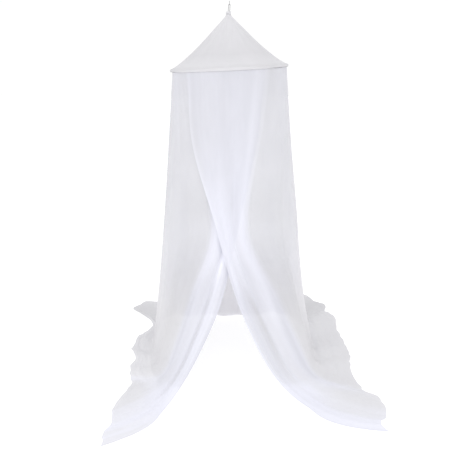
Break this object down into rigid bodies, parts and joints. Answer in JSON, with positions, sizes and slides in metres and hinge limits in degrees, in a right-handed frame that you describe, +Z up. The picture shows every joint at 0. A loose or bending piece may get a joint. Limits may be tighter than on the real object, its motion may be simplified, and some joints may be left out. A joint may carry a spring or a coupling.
{
  "type": "mosquito net canopy with hoop and hanging ring",
  "caption": "Sheer net canopy: a gathered cone on a round hoop, with a long net that overlaps at the front, crosses at the waist and spreads over the floor.",
  "frame": {"origin": "top of the hanging ring's eye, where a ceiling hook bears; the floor is 1.857 m below it", "axes": "+Z up along the line it hangs on; -Y towards the front, where the two edges of the net cross; +X to the right as seen from the front"},
  "size_m": [1.3521, 1.5635, 1.8589],
  "materials": {
    "net": "sheer white net",
    "cone_net": "white net, a little denser",
    "hoop": "grey, satin",
    "tie": "pale wound thread",
    "cord": "off-white twisted cord",
    "ring": "plain steel wire"
  },
  "bodies": {
    "root": {"net_curtain": "net", "cone_top": "cone_net", "hoop": "hoop", "neck_tie": "tie", "hanging_loop": "cord", "hanging_ring": "ring"}
  },
  "joints": []
}
